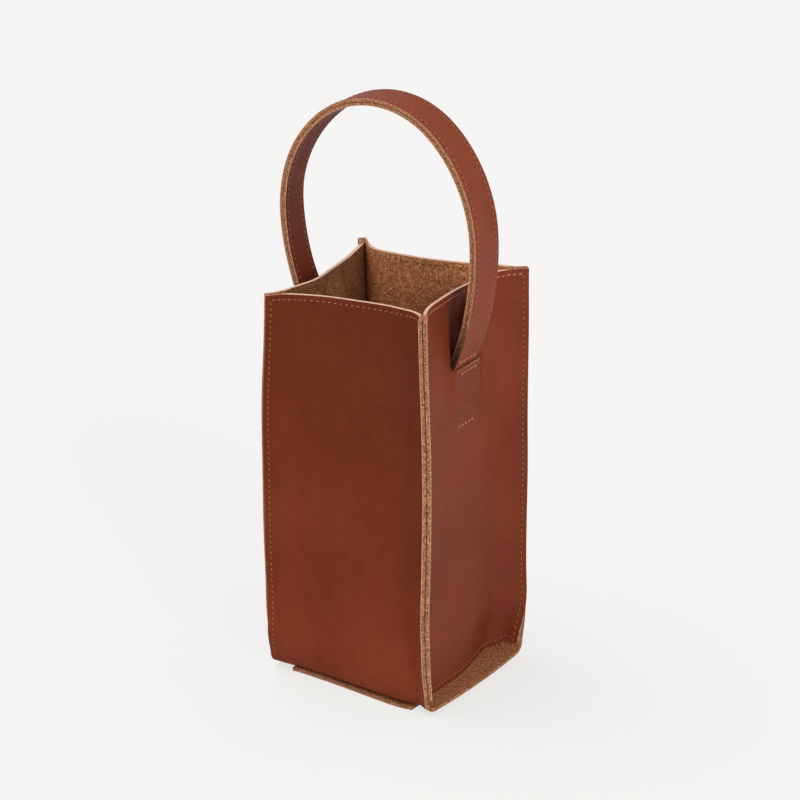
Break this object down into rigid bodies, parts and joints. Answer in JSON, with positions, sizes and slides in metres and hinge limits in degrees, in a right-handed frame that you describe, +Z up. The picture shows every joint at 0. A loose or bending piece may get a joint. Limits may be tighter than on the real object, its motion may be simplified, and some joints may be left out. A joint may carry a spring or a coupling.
{
  "type": "bottle carrier",
  "caption": "Tall open-topped leather bottle carrier with outward corner seams, a sole patch under a folded base and an arched strap handle through slits in its sides.",
  "frame": {"origin": "under the middle of the sole, on the surface that the carrier stands on", "axes": "+Z up, the front wall faces -Y, the handle arches over the mouth along X"},
  "size_m": [0.14, 0.1178, 0.3618],
  "materials": {
    "wall_leather": "smooth waxed grain, raw edges",
    "strap_leather": "smooth waxed grain, raw edges",
    "sole_leather": "plain grain, raw edges",
    "thread": "twisted waxed thread"
  },
  "bodies": {
    "carrier": {"body_wrap": "wall_leather", "left_side_panel": "wall_leather", "right_side_panel": "wall_leather", "base_sole": "sole_leather", "left_tail_outer": "strap_leather", "left_tail_inner": "strap_leather", "right_tail_outer": "strap_leather", "right_tail_inner": "strap_leather", "front_left_seam_thread": "thread", "front_right_seam_thread": "thread", "back_left_seam_thread": "thread", "back_right_seam_thread": "thread", "front_rim_thread": "thread", "back_rim_thread": "thread", "left_rim_thread": "thread", "right_rim_thread": "thread", "left_hem_thread": "thread", "right_hem_thread": "thread", "sole_thread": "thread", "left_tail_thread": "thread", "right_tail_thread": "thread"},
    "handle": {"handle_outer_strap": "strap_leather", "handle_inner_strap": "strap_leather", "handle_front_edge_thread": "thread", "handle_back_edge_thread": "thread", "left_root_thread": "thread", "right_root_thread": "thread"}
  },
  "joints": [
    {"name": "handle_tilt", "type": "hinge", "parent": "carrier", "child": "handle", "pos_m": [0, 0, 0.2065], "axis": [1, 0, 0], "range_deg": [-35, 35], "stiffness_Nm_per_rad": 0.6}
  ]
}
